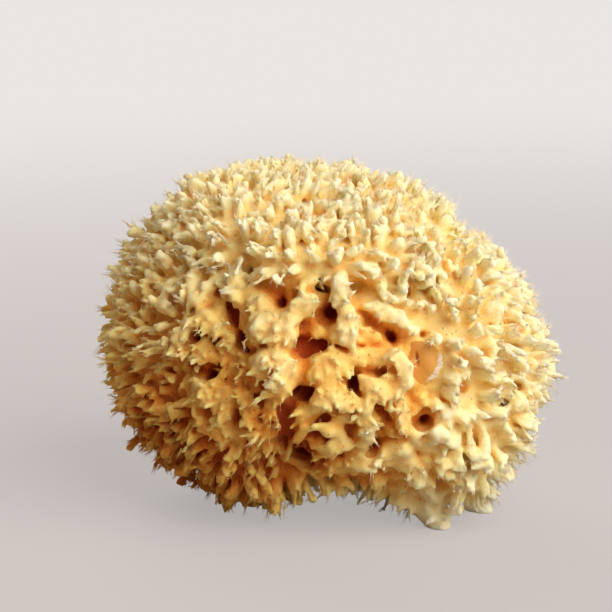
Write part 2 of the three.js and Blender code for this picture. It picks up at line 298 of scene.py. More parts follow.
# Slow changes of the fur's lean and size over the skin
LEAN_WAVELENGTH = 24.0
SIZE_WAVELENGTH = 14.0
SIZE_WAVES = 0.1

# Facing of the skin from where each kind of tuft grows: up, right and left
PILE_FACING = 0.55
PADDLE_FACING = 0.45
STRING_FACING = -0.4

# Knobs and warts on the bare skin
KNOB_SPACING = 9.0
KNOB_WIDTH = (2.2, 3.8)
KNOB_HEIGHT = (2.0, 3.6)
WART_SPACING = 3.6
WART_WIDTH = (0.8, 1.8)
WART_HEIGHT = (1.4, 2.8)
KNOB_SCATTER = 0.25

# Bare rim around an opening, and room around a crest
OPENING_RIM = 0.6
CREST_ROOM = 2.0

# Roughness of the finished fibre: amount and wavelength, fine and coarse
FINE_WAVES = (0.12, 2.2)
COARSE_WAVES = (0.22, 4.5)

# Hairs on the tufts and ridges, in brushes
HAIR_BRUSHES = 5000
HAIRS_IN_BRUSH = 6
HAIR_LENGTH = (0.8, 2.2)
LENGTH_SPREAD = (0.6, 1.1)
HAIR_SPREAD = 0.25
HAIR_RADIUS = 0.09
HAIR_SINK = 0.4
HAIR_SWEEP = np.array([-0.3, -0.1, -0.35])
HAIR_TONE = (0.0, 0.15)

# Way of a hair: shares of the tuft's side, the skin's way out and the combing, and scatter
HAIR_ALONG_TUFT = 0.45
HAIR_OFF_SKIN = 0.8
HAIR_COMB = 0.35
COMB_WAVELENGTH = 3.5
BRUSH_SCATTER = 0.12
HAIR_SCATTER = 0.16

# Where hairs grow: off the floor, off the skin, and with room around them
HAIR_LOWEST = 0.8
HAIR_CLEAR = 0.2
HAIR_RISE = 0.4
HAIR_ROOM = 0.2

# A hair is a spike of three sides; its points lie in one cell of the map
SPIKE_FACES = np.array([[0, 2, 1], [0, 1, 3], [1, 2, 3], [2, 0, 3]])
SPIKE_TURN = np.array([0.31, 0.52, 0.79])
HAIR_CELL = np.array([(0.15, 0.15), (0.85, 0.15), (0.5, 0.45), (0.5, 0.9)])

# Flake of shell
FLAKE_PIXEL = (420, 364)
FLAKE_HALF_WIDTH = 4.6
FLAKE_HALF_HEIGHT = 5.6
FLAKE_DOME = 0.9
FLAKE_TILT = 0.16
FLAKE_WALL = 0.5
FLAKE_HELD = 0.6
PIT_ASIDE = 0.7
PIT_OUT = 2.0
PIT_DEPTH = 3.6
PIT_EDGE = 1.0

# The flake's mesh, the waves of its outline and face, and how much thinner its rim is
FLAKE_ROWS = 22
FLAKE_SIDES = 84
OUTLINE_WAVES = (0.06, 0.05)
FACE_WAVES = (0.35, 0.12)
RIM_THIN = 0.7

# Its tone, and what the painted light on the right, the painted shade in the split and the broken edge change
# in it
FLAKE_TONE = 0.42
RIGHT_PAINTED_LIGHT = 0.16
SPLIT_PAINTED_SHADE = 0.5
TONE_BROKEN = 0.75

# Its broken edge: turn, spread, jags, curl, and where curl and white start and how wide they are
BREAK_TURN = 0.35
BREAK_SPREAD = 0.75
JAG_SIZE = 0.10
JAG_CUT = 0.06
FLAKE_CURL = 1.3
CURL_EDGE = (0.7, 0.3)
WHITE_EDGE = (0.78, 0.1)

# The split in the flake: place, lean, half width, length and depth
SPLIT_ASIDE = 0.7
SPLIT_UP = 1.4
SPLIT_LEAN = 0.06
SPLIT_WIDTH = 0.3
SPLIT_LENGTH = 1.7
SPLIT_DEPTH = 0.7

# Field of distances that the fibre is grown in
STEP = 0.45
FIELD_LOW = (-63.0, -54.0, -1.1)
FIELD_HIGH = (63.0, 54.0, 94.0)
SPREAD_TRIES = 60000

# How far the grain runs along the fibre, and the widths in cells that crowding is blurred over
GRAIN_STRETCH = 0.9
CROWDING_CELLS = (4, 3)

# Studio: tone of the plain background, floor, where the lamps aim; in metres
STAGE_TONE = (0.82, 0.79, 0.77, 1.0)
FLOOR_SIZE = 12.0
LAMP_AIM = (0.0, 0.0, 0.04)

rng = np.random.default_rng(SEED)


def direction(azimuth, elevation):
    a, e = math.radians(azimuth), math.radians(elevation)
    return np.array([math.sin(a) * math.cos(e), -math.cos(a) * math.cos(e), math.sin(e)])


def unit(v):
    return v / np.linalg.norm(v)


def scatter(amount):
    return amount * rng.standard_normal(3)


def smooth_min(a, b, reach):
    share = np.clip(0.5 + 0.5 * (b - a) / reach, 0.0, 1.0)
    return b + (a - b) * share - reach * share * (1.0 - share)


def smooth_max(a, b, reach):
    return -smooth_min(-a, -b, reach)


class Field:
    """Signed distances on a regular grid, negative inside."""

    def __init__(self, low, high, step):
        self.step = step
        self.low = np.array(low)
        self.axes = [np.arange(lo, hi + step, step, dtype=np.float32) for lo, hi in zip(low, high)]
        self.shape = tuple(len(axis) for axis in self.axes)
        self.values = np.full(self.shape, 1e3, dtype=np.float32)

    def block(self, low, high):
        first = [max(0, int((lo - base) / self.step)) for lo, base in zip(low, self.low)]
        last = [min(n, int((hi - base) / self.step) + 2) for hi, base, n in zip(high, self.low, self.shape)]
        where = tuple(slice(a, b) for a, b in zip(first, last))
        x, y, z = (axis[part] for axis, part in zip(self.axes, where))
        return where, (x[:, None, None], y[None, :, None], z[None, None, :])

    def join(self, where, form, reach):
        self.values[where] = smooth_min(self.values[where], form, reach)

    def carve(self, where, form, reach):
        self.values[where] = smooth_max(self.values[where], -form, reach)

    def sample(self, values, points):
        place = (points - self.low) / self.step
        cell = np.clip(np.floor(place).astype(int), 0, np.array(self.shape) - 2)
        part = np.clip(place - cell, 0.0, 1.0)
        total = np.zeros(len(points))
        for corner in range(8):
            bits = [(corner >> k) & 1 for k in range(3)]
            weight = np.ones(len(points))
            for k, bit in enumerate(bits):
                weight *= part[:, k] if bit else 1.0 - part[:, k]
            at = cell + bits
            total += weight * values[at[:, 0], at[:, 1], at[:, 2]]
        return total

    def normals(self, values, points):
        columns = []
        for k in range(3):
            offset = np.zeros(3)
            offset[k] = self.step
            columns.append(self.sample(values, points + offset) - self.sample(values, points - offset))
        found = np.stack(columns, axis=1)
        return found / np.maximum(np.linalg.norm(found, axis=1, keepdims=True), 1e-9)

    def noise(self, wavelength, random):
        """Smooth noise of unit spread, with features of about the wavelength."""
        spacing = wavelength / 2.0
        weights = []
        for axis in self.axes:
            place = (axis - axis[0]) / spacing
            cell = np.floor(place).astype(int)
            t = place - cell
            table = np.zeros((len(axis), cell[-1] + 4), dtype=np.float32)
            rows = np.arange(len(axis))
            table[rows, cell] = (1 - t) ** 3 / 6
            table[rows, cell + 1] = (3 * t**3 - 6 * t**2 + 4) / 6
            table[rows, cell + 2] = (-3 * t**3 + 3 * t**2 + 3 * t + 1) / 6
            table[rows, cell + 3] = t**3 / 6
            weights.append(table)
        lattice = random.standard_normal([table.shape[1] for table in weights]).astype(np.float32)
        wide = np.tensordot(weights[0], lattice, axes=(1, 0))
        wide = np.tensordot(wide, weights[1], axes=(1, 1))
        wide = np.tensordot(wide, weights[2], axes=(1, 1))
        return wide / wide.std()


def ellipsoid_distance(grid, centre, axes, radii):
    x, y, z = grid
    first = 0.0
    second = 0.0
    for axis, radius in zip(axes, radii):
        along = (x - centre[0]) * axis[0] + (y - centre[1]) * axis[1] + (z - centre[2]) * axis[2]
        first = first + (along / radius) ** 2
        second = second + (along / radius**2) ** 2
    level = np.sqrt(first)
    return (level * (level - 1.0) / np.maximum(np.sqrt(second), 1e-6)).astype(np.float32)


def rod_distance(grid, a, b, start_radius, end_radius):
    x, y, z = grid
    span = b - a
    px, py, pz = x - a[0], y - a[1], z - a[2]
    share = np.clip((px * span[0] + py * span[1] + pz * span[2]) / float(span @ span), 0.0, 1.0)
    dx, dy, dz = px - share * span[0], py - share * span[1], pz - share * span[2]
    radius = start_radius + share * (end_radius - start_radius)
    return (np.sqrt(dx * dx + dy * dy + dz * dz) - radius).astype(np.float32)


# Core and lobes, placed as in the solid model
core_boxes = np.array([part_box("upper_core"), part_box("lower_core")]) / MM
core_centre = 0.5 * (core_boxes[:, 0].min(axis=0) + core_boxes[:, 1].max(axis=0))
core_centre[2] = CORE_CENTRE_HEIGHT
yaw, roll = math.radians(CORE_YAW), math.radians(CORE_ROLL)
turn_yaw = np.array([[math.cos(yaw), -math.sin(yaw), 0], [math.sin(yaw), math.cos(yaw), 0], [0, 0, 1]])
turn_roll = np.array([[math.cos(roll), 0, math.sin(roll)], [0, 1, 0], [-math.sin(roll), 0, math.cos(roll)]])
core_axes = (turn_yaw @ turn_roll).T


def core_point(way):
    level = math.sqrt(sum((way @ axis / radius) ** 2 for axis, radius in zip(core_axes, CORE_RADII)))
    return core_centre + way / level


def lobe_frame(azimuth, elevation, half_width, half_height, swell):
    seat = core_point(direction(azimuth, elevation))
    offset = seat - core_centre
    outward = unit(sum(axis * (offset @ axis) / radius**2 for axis, radius in zip(core_axes, CORE_RADII)))
    across = -unit(np.cross(direction(azimuth, 0), (0, 0, 1)))
    upward = unit(np.cross(outward, across))
    level = unit(np.cross(upward, outward))
    return seat, (level, upward, outward), (half_width, half_height, swell)


lobe_frames = {name: lobe_frame(*values) for name, values in LOBES.items()}

field = Field(FIELD_LOW, FIELD_HIGH, STEP)
whole = (field.axes[0][:, None, None], field.axes[1][None, :, None], field.axes[2][None, None, :])
field.values = ellipsoid_distance(whole, core_centre, core_axes, CORE_RADII)
for seat, axes, radii in lobe_frames.values():
    spread = max(radii) + 2 * LOBE_BLEND
    where, grid = field.block(seat - spread, seat + spread)
    lobe = ellipsoid_distance(grid, seat, axes, radii)
    field.join(where, lobe, LOBE_BLEND)
field.values += BASE_SINK + BASE_WAVES * field.noise(BASE_WAVELENGTH, rng)
fleece_values = field.values.copy()
for azimuth, stance in FEET.values():
    sole = core_centre * (1, 1, 0) + direction(azimuth, 0) * stance
    aim = core_centre * (1, 1, 0) + direction(azimuth, 0) * stance * FOOT_ROOT_SHARE
    aim[2] = CORE_CENTRE_HEIGHT / 2
    low = np.minimum(sole, aim) - FOOT_ROOT_RADIUS - LOBE_BLEND
    high = np.maximum(sole, aim) + FOOT_ROOT_RADIUS + LOBE_BLEND
    where, grid = field.block(low, high)
    foot = rod_distance(grid, sole, aim, SOLE_RADIUS - SOLE_ROUNDING, FOOT_ROOT_RADIUS)
    field.join(where, foot, LOBE_BLEND)
base_values = field.values.copy()
warp = [WARP * field.noise(WARP_WAVELENGTH, rng) for _ in range(3)]


def warped_block(low, high):
    where, grid = field.block(low, high)
    return where, tuple(axis + shift[where] for axis, shift in zip(grid, warp))


# Camera rays, to place what the photograph shows
tilt = math.radians(CAMERA_ELEVATION)
forward = np.array([0.0, math.cos(tilt), -math.sin(tilt)])
camera_up = np.array([0.0, math.sin(tilt), math.cos(tilt)])
camera_place = np.array([0.0, 0.0, AIM_HEIGHT]) - CAMERA_DISTANCE * forward
focal_pixels = CAMERA_DISTANCE / MM_PER_PIXEL


def skin_at_pixel(px, py):
    """The point of the base that shows at a pixel, or the nearest one."""
    ray = unit(
        forward
        + np.array([1.0, 0.0, 0.0]) * (px - AIM_PIXEL[0]) / focal_pixels
        - camera_up * (py - AIM_PIXEL[1]) / focal_pixels
    )
    steps = np.arange(CAMERA_DISTANCE - RAY_BEFORE, CAMERA_DISTANCE + RAY_AFTER, RAY_STEP)
    points = camera_place + steps[:, None] * ray
    depths = field.sample(base_values, points)
    if depths.min() > 0:
        return points[np.argmin(depths)]
    return points[np.argmax(depths < 0)]


def pixel_of(point):
    offset = point - camera_place
    depth = offset @ forward
    px = AIM_PIXEL[0] + focal_pixels * offset[..., 0] / depth
    py = AIM_PIXEL[1] - focal_pixels * (offset @ camera_up) / depth
    return px, py


# Hollows in the base
hollow_spots = []
for px, py, radius, depth in HOLLOWS:
    spot = skin_at_pixel(px, py)
    centre = spot + (radius - depth) * field.normals(base_values, spot[None])[0]
    where, grid = field.block(centre - 2 * radius, centre + 2 * radius)
    scoop = rod_distance(grid, centre, centre + (1, 0, 0), radius, radius)
    field.carve(where, scoop, LOBE_BLEND)
    hollow_spots.append((spot, radius))
base_values = field.values.copy()


# Surface where a field is zero
def surface_nets(field, values):
    """Vertices and quads of the zero surface of the values."""
    nx, ny, nz = field.shape
    inside = values < 0
    count = np.zeros((nx - 1, ny - 1, nz - 1), dtype=np.int8)
    corners = np.array([[(c >> b) & 1 for b in range(3)] for c in range(8)])
    for i, j, k in corners:
        count += inside[i:nx - 1 + i, j:ny - 1 + j, k:nz - 1 + k]
    cells = np.argwhere((count > 0) & (count < 8))
    number = np.full(count.shape, -1, dtype=np.int32)
    number[cells[:, 0], cells[:, 1], cells[:, 2]] = np.arange(len(cells))
    total = np.zeros((len(cells), 3))
    crossings = np.zeros(len(cells))
    corner_values = [values[tuple((cells + offset).T)] for offset in corners]
    for a in range(8):
        for bit in range(3):
            b = a | (1 << bit)
            if b == a:
                continue
            va, vb = corner_values[a], corner_values[b]
            cross = (va < 0) != (vb < 0)
            share = np.where(cross, va / np.where(cross, va - vb, 1.0), 0.0)
            point = corners[a] + share[:, None] * (corners[b] - corners[a])
            total += np.where(cross[:, None], point, 0.0)
            crossings += cross
    vertices = field.low + (cells + total / crossings[:, None]) * field.step
    quads = []
    for axis in range(3):
        u, v = (axis + 1) % 3, (axis + 2) % 3
        first = [slice(None)] * 3
        second = [slice(None)] * 3
        first[axis] = slice(0, -1)
        second[axis] = slice(1, None)
        start, end = inside[tuple(first)], inside[tuple(second)]
        edges = np.argwhere(start != end)
        limit = np.array(field.shape) - 1
        keep = (edges[:, u] > 0) & (edges[:, v] > 0) & (edges[:, u] < limit[u]) & (edges[:, v] < limit[v])
        edges = edges[keep]
        leaving = start[tuple(edges.T)]
        around = []
        for du, dv in ((0, 0), (-1, 0), (-1, -1), (0, -1)):
            cell = edges.copy()
            cell[:, u] += du
            cell[:, v] += dv
            around.append(number[tuple(cell.T)])
        quad = np.stack(around, axis=1)
        quads.append(np.where(leaving[:, None], quad, quad[:, ::-1]))
    return vertices, np.concatenate(quads)


skin_vertices, _ = surface_nets(field, base_values)
skin_normals = field.normals(base_values, skin_vertices)


# Points spread over the skin
def spread_points(spacing, taken):
    """Picks points at least a spacing apart and clear of the places already taken."""
    order = rng.permutation(len(skin_vertices))[:SPREAD_TRIES]
    cells = np.floor(skin_vertices[order] / spacing).astype(int)
    near = {}
    picked = []
    for i, cell in zip(order, map(tuple, cells)):
        point = skin_vertices[i]
        around = [
            other
            for dx in (-1, 0, 1)
            for dy in (-1, 0, 1)
            for dz in (-1, 0, 1)
            for other in near.get((cell[0] + dx, cell[1] + dy, cell[2] + dz), ())
        ]
        if around and min(np.sum((np.array(around) - point) ** 2, axis=1)) < spacing**2:
            continue
        if np.any(np.sum((taken[:, :3] - point) ** 2, axis=1) < taken[:, 3] ** 2):
            continue
        near.setdefault(cell, []).append(point)
        picked.append((i, point, skin_normals[i]))
    return picked


# Zones of bare skin
def zone_level(points, zone):
    """Below 1 inside the zone."""
    px, py = pixel_of(points)
    x = (px - zone[0]) / zone[2]
    y = (py - zone[1]) / zone[3]
    return x * x + y * y - ZONE_LEAN * x * y


def bare_level(points):
    return np.minimum(zone_level(points, RIDGE_ZONE), zone_level(points, FOOT_ZONE))


def in_bare_zone(point, normal):
    return (bare_level(point) < 1) & (normal @ forward < ZONE_FACING)


def zone_share(level):
    """1 inside a zone and 0 outside it, with a soft edge."""
    return np.clip((ZONE_EDGE - level) / ZONE_FADE, 0.0, 1.0)


# Canals: those of the photograph on the front, and others on the sides that it doesn't show
canals = []
for px, py, radius, depth in PHOTO_CANALS:
    point = skin_at_pixel(px, py)
    normal = field.normals(base_values, point[None])[0]
    canals.append((point, unit(-normal + forward), radius, depth))
taken = np.array([[*point, radius + HIDDEN_CLEAR] for point, _, radius, _ in canals])
for _, point, normal in spread_points(HIDDEN_SPACING, taken):
    if point[2] > HIDDEN_LOWEST and normal @ forward > HIDDEN_FACING:
        radius = rng.uniform(*HIDDEN_RADIUS)
        inward = unit(-normal + scatter(HIDDEN_LEAN))
        depth = rng.uniform(*HIDDEN_RADII_DEEP) * radius + HIDDEN_MORE
        canals.append((point, inward, radius, depth))

# Place of the flake: on the skin, facing out
flake_place = skin_at_pixel(*FLAKE_PIXEL)
flake_out = field.normals(base_values, flake_place[None])[0]
flake_across = unit(np.cross((0, 0, 1), flake_out))
flake_up = np.cross(flake_out, flake_across)


# Ridges and tufts
def stamp(rods, web, skirt):
    """Joins rods into one tuft, and the tuft to the fibre that is there."""
    ends = np.array([rod[k] for rod in rods for k in (0, 1)])
    margin = skirt + max(max(rod[2:]) for rod in rods)
    where, grid = warped_block(ends.min(axis=0) - margin, ends.max(axis=0) + margin)
    tuft = None
    for a, b, ra, rb in rods:
        rod = rod_distance(grid, a, b, ra, rb)
        tuft = rod if tuft is None else smooth_min(tuft, rod, web)
    field.join(where, tuft, skirt)


def grow_ridge(radius, lift, pixels):
    """A wall of fibre along a crest, with teeth all along it and strands toward the lower left."""
    foot = np.array([skin_at_pixel(px, py) for px, py in pixels])
    crest = foot - RIDGE_RISE * lift * forward
    wall = 0.5 * (foot + crest)
    foot_radius = RIDGE_FOOT * radius
    crest_radius = RIDGE_CREST * radius * rng.uniform(*CREST_SPREAD, len(pixels))
    wall_radius = RIDGE_WALL * radius * rng.uniform(*WALL_SPREAD, len(pixels))
    rods = []
    for k in range(len(pixels) - 1):
        rods.append((foot[k], foot[k + 1], foot_radius, foot_radius))
        rods.append((wall[k], wall[k + 1], wall_radius[k], wall_radius[k + 1]))
        rods.append((crest[k], crest[k + 1], crest_radius[k], crest_radius[k + 1]))
        span = crest[k + 1] - crest[k]
        length = np.linalg.norm(span)
        for _ in range(int(length * TEETH_DENSITY) + 1):
            start = crest[k] + rng.uniform() * span
            out = unit(scatter(TOOTH_SCATTER) + TOOTH_WAY)
            tip = start + (radius + rng.uniform(*TOOTH_LENGTH)) * out
            rods.append((start, tip, *TOOTH_RADII))
        fringe = (FRINGE_PIXELS[1] - pixels[k][0]) / (FRINGE_PIXELS[1] - FRINGE_PIXELS[0])
        root_radius, middle_radius, tip_radius = FRINGE_RADII
        for _ in range(int(length * FRINGE_DENSITY * np.clip(fringe, 0.0, 1.0))):
            start = crest[k] + rng.uniform() * span
            out = unit(FRINGE_WAY + scatter(FRINGE_SCATTER))
            middle = start + (radius + FRINGE_CLEAR) * out
            reach = rng.uniform(*FRINGE_LENGTH)
            tip = middle + reach * unit(out + scatter(FRINGE_CURL) + 0.5 * SAG)
            rods.append((start, middle, root_radius, middle_radius))
            rods.append((middle, tip, middle_radius, tip_radius))
    stamp(rods, RIDGE_WEB, RIDGE_SKIRT)


def grow_tuft(kind, root, way, width, height, curl):
    """A row of fingers that spread from one root."""
    least, most = kind.fingers
    number = int(rng.integers(least, most + 1))
    across = unit(np.cross(way, rng.standard_normal(3)))
    deep = np.cross(way, across)
    root_radius, middle_radius, tip_radius = kind.radii
    rods = []
    for j in range(number):
        side = width * ((j + 0.5) / number - 0.5 + FINGER_JITTER * rng.standard_normal())
        off = FINGER_OFF * rng.standard_normal()
        length = height * rng.uniform(*FINGER_LENGTH)
        bottom = root - FINGER_SINK * way + across * side * FINGER_FOOT
        middle = root + way * length * 0.5 + across * side * FINGER_WAIST + deep * off + FINGER_CURL * curl
        top = root + way * length + across * side * FINGER_FOOT * kind.fan + deep * FINGER_BEND * off + curl
        rods.append((bottom, middle, root_radius, middle_radius))
        rods.append((middle, top, middle_radius, tip_radius))
    stamp(rods, kind.web, kind.skirt)


rng = np.random.default_rng(RIDGE_SEED)
for radius, lift, pixels in PHOTO_RIDGES:
    grow_ridge(radius, lift, pixels)

for curl in PHOTO_CURLS:
    path = [skin_at_pixel(px, py) - above * forward for px, py, above in curl]
    radii = np.linspace(*CURL_RADII, len(path))
    rods = [(path[k], path[k + 1], radii[k], radii[k + 1]) for k in range(len(path) - 1)]
    stamp(rods, RIDGE_WEB, RIDGE_SKIRT)

openings = [[*point, radius + OPENING_RIM] for point, _, radius, _ in canals]
openings.append([*flake_place, FLAKE_HALF_HEIGHT + OPENING_RIM])
openings = np.array(openings)
lean_field = [field.noise(LEAN_WAVELENGTH, rng) for _ in range(3)]
size_field = field.noise(SIZE_WAVELENGTH, rng)
skin_lean = np.stack([field.sample(noise, skin_vertices) for noise in lean_field], axis=1)
skin_size = 1 + SIZE_WAVES * field.sample(size_field, skin_vertices)

# Knobs and warts
crests = []
for radius, _, pixels in PHOTO_RIDGES:
    for px, py in pixels:
        crests.append([*skin_at_pixel(px, py), RIDGE_FOOT * radius + CREST_ROOM])
for _, point, normal in spread_points(KNOB_SPACING, np.concatenate([openings, np.array(crests)])):
    if in_bare_zone(point, normal):
        way = unit(normal + scatter(KNOB_SCATTER) + KNOB.droop * SAG)
        width = rng.uniform(*KNOB_WIDTH)
        grow_tuft(KNOB, point, way, width, rng.uniform(*KNOB_HEIGHT), KNOB.droop * SAG)
for _, point, normal in spread_points(WART_SPACING, openings):
    if zone_level(point, FOOT_ZONE) < 1 and in_bare_zone(point, normal):
        way = unit(normal + scatter(KNOB_SCATTER) + SAG)
        width = rng.uniform(*WART_WIDTH)
        grow_tuft(WART, point, way, width, rng.uniform(*WART_HEIGHT), WART.droop * SAG)


# Fur
def tuft_kind(normal):
    """Pile on top, paddles on the right, strings on the left and fur between them."""
    if normal[2] > PILE_FACING:
        return PILE
    if normal[0] > PADDLE_FACING:
        return PADDLE
    if normal[0] < STRING_FACING:
        return STRING
    return FUR


for i, point, normal in spread_points(TUFT_SPACING, openings):
    if point[2] < TUFT_LOWEST or in_bare_zone(point, normal):
        continue
    size = skin_size[i]
    way = unit(normal + scatter(TUFT_SCATTER) + TUFT_LEAN * skin_lean[i] + TUFT_LEAN * SAG)
    width = rng.uniform(*TUFT_WIDTH) * size
    height = rng.uniform(*TUFT_HEIGHT) * size
    height *= 1 - CROWN_SHORT * max(0.0, normal[2])
    if any(np.linalg.norm(point - spot) < radius for spot, radius in hollow_spots):
        height *= HOLLOW_FUR
    if point[2] < FOOT_TUFTS_BELOW:
        width, height = FOOT_TUFT_WIDE * width, FOOT_TUFT_TALL * height
        grow_tuft(FUR, point, way, width, height, FOOT_TUFT_DROOP * SAG)
        continue
    kind = tuft_kind(normal)
    curl = scatter(kind.curl) + kind.droop * SAG
    grow_tuft(kind, point, way, kind.wide * width, kind.tall * height, curl)

fine = FINE_WAVES[0] * field.noise(FINE_WAVES[1], rng)
field.values += fine + COARSE_WAVES[0] * field.noise(COARSE_WAVES[1], rng)

# Crevices, canals and the pit of the flake
for x0, y0, x1, y1, radius, depth in PHOTO_CREVICES:
    ends = [skin_at_pixel(x0, y0), skin_at_pixel(x1, y1)]
    ends = [end - depth * field.normals(base_values, end[None])[0] for end in ends]
    room = radius + CUT_MARGIN
    where, grid = warped_block(np.minimum(*ends) - room, np.maximum(*ends) + room)
    crevice = rod_distance(grid, ends[0], ends[1], radius, radius)
    field.carve(where, crevice, CREVICE_EDGE)
for point, inward, radius, depth in canals:
    mouth = point - CANAL_ABOVE * inward
    end = point + CANAL_DEPTH * depth * inward
    room = radius + CUT_MARGIN
    where, grid = warped_block(np.minimum(mouth, end) - room, np.maximum(mouth, end) + room)
    aside = mouth + MOUTH_OFFSET * radius * unit(np.cross(inward, rng.standard_normal(3)))
    canal = rod_distance(grid, mouth, end, CANAL_RADII[0] * radius, CANAL_RADII[1] * radius)
    branch = rod_distance(grid, aside, end, MOUTH_RADII[0] * radius, MOUTH_RADII[1] * radius)
    canal = smooth_min(canal, branch, MOUTH_BLEND)
    field.carve(where, canal, CANAL_EDGE)
pit_place = flake_place + PIT_ASIDE * flake_across + PIT_OUT * flake_out
where, grid = warped_block(pit_place - 2 * FLAKE_HALF_HEIGHT, pit_place + 2 * FLAKE_HALF_HEIGHT)
pit_axes = (flake_across, flake_up, flake_out)
pit_radii = (FLAKE_HALF_WIDTH - FLAKE_HELD, FLAKE_HALF_HEIGHT - FLAKE_HELD, PIT_DEPTH)
pit = ellipsoid_distance(grid, pit_place, pit_axes, pit_radii)
field.carve(where, pit, PIT_EDGE)
field.values = np.maximum(field.values, -whole[2])


# Surface of the finished fibre
def main_body(vertices, quads):
    """Keeps the largest connected surface."""
    label = np.arange(len(vertices))
    edges = np.concatenate([quads[:, [0, 1]], quads[:, [1, 2]], quads[:, [2, 3]]])
    while True:
        low = np.minimum(label[edges[:, 0]], label[edges[:, 1]])
        old = label.copy()
        np.minimum.at(label, edges[:, 0], low)
        np.minimum.at(label, edges[:, 1], low)
        label = label[label]
        label = label[label]
        if np.array_equal(old, label):
            break
    main = np.bincount(label).argmax()
    keep = label == main
    number = np.cumsum(keep) - 1
    return vertices[keep], number[quads[keep[quads[:, 0]]]]


vertices, quads = main_body(*surface_nets(field, field.values))


def blurred(values, cells):
    """Means over a cube of so many cells each way."""
    for axis in range(3):
        total = np.cumsum(values, axis=axis)
        moved = np.moveaxis(total, axis, 0)
        out = moved.copy()
        out[cells:-cells] = (moved[2 * cells:] - moved[:-2 * cells]) / (2 * cells)
        out[:cells] = 0
        out[-cells:] = 0
        values = np.moveaxis(out, 0, axis)
    return values


# What tones and hairs follow: how crowded a point is, how far it stands off the skin, and the way out
filled = np.clip(0.5 - field.values / STEP, 0.0, 1.0).astype(np.float32)
for cells in CROWDING_CELLS:
    filled = blurred(filled, cells)
crowding = field.sample(filled, vertices)
rise = field.sample(fleece_values, vertices)
outward = field.normals(fleece_values, vertices)
fibre_grain = vertices - GRAIN_STRETCH * rise[:, None] * outward


# Materials
def fill(tree, made, inputs):
    """Sets the inputs of a node: an output is linked, and anything else is a value."""
    for name, value in inputs.items():
        if isinstance(value, bpy.types.NodeSocket):
            tree.links.new(value, made.inputs[name])
        else:
            made.inputs[name].default_value = value


def node(tree, kind, inputs, **settings):
    made = tree.nodes.new(kind)
    for name, value in settings.items():
        setattr(made, name, value)
    fill(tree, made, inputs)
    return made


def math_node(tree, operation, *inputs):
    return node(tree, "ShaderNodeMath", dict(enumerate(inputs)), operation=operation).outputs[0]


def ramp(tree, source, stops):
    made = node(tree, "ShaderNodeValToRGB", {"Fac": source})
    elements = made.color_ramp.elements
    while len(elements) < len(stops):
        elements.new(0.5)
    for element, (place, colour) in zip(elements, stops):
        element.position = place
        element.color = (*colour, 1.0)
    return made.outputs["Color"]


def srgb(r, g, b):
    scaled = (r / 255, g / 255, b / 255)
    return tuple(c / 12.92 if c <= 0.04045 else ((c + 0.055) / 1.055) ** 2.4 for c in scaled)


def new_material(name):
    material = bpy.data.materials.new(name)
    material.use_nodes = True
    return material, material.node_tree, material.node_tree.nodes["Principled BSDF"]


def stored(tree, name, output):
    """What the mesh stores for each of its points."""
    return node(tree, "ShaderNodeAttribute", {}, attribute_name=name).outputs[output]


def stored_tone(tree):
    return node(tree, "ShaderNodeSeparateColor", {"Color": stored(tree, "tone", "Color")}).outputs["Red"]


def noise_on(tree, source, scale):
    return node(tree, "ShaderNodeTexNoise", {"Vector": source, "Scale": scale, "Detail": 3.0}).outputs["Fac"]


def bump(tree, relief, strength, distance):
    inputs = {"Height": relief, "Strength": strength, "Distance": distance}
    return node(tree, "ShaderNodeBump", inputs).outputs["Normal"]


def sum_of(tree, first, *added):
    """Adds noises, each about its middle value and times its share, to a first value."""
    total = first
    for source, share in added:
        level = math_node(tree, "MULTIPLY_ADD", source, share, -0.5 * share)
        total = math_node(tree, "ADD", total, level)
    return total


FIBRE_TONES = [
    (0.02, srgb(178, 74, 26)),
    (0.20, srgb(228, 148, 56)),
    (0.34, srgb(240, 184, 88)),
    (0.50, srgb(246, 207, 120)),
    (0.70, srgb(249, 227, 164)),
    (0.95, srgb(251, 240, 204)),
]
SHELL_TONES = [
    (0.0, srgb(150, 80, 25)),
    (0.3, srgb(200, 130, 50)),
    (0.6, srgb(224, 168, 80)),
    (1.0, srgb(250, 240, 220)),
]
PORE_COLOUR = (*srgb(196, 98, 22), 1.0)

# Scale of streaks, clouds, pores and growth lines, and the tone that streaks and clouds add
STREAK_SCALE = 2600.0
CLOUD_SCALE = 90.0
PORE_SCALE = 480.0
GROWTH_SCALE = 900.0
STREAK_SHARE = 0.32
CLOUD_SHARE = 0.16

# Pores: dark dots by the distance from their middle, which end where the tone gets paler
PORE_DOTS = [(0.07, (0.35, 0.35, 0.35)), (0.15, (1.0, 1.0, 1.0))]
PORE_SKIN = [(0.55, (0.0, 0.0, 0.0)), (0.68, (1.0, 1.0, 1.0))]


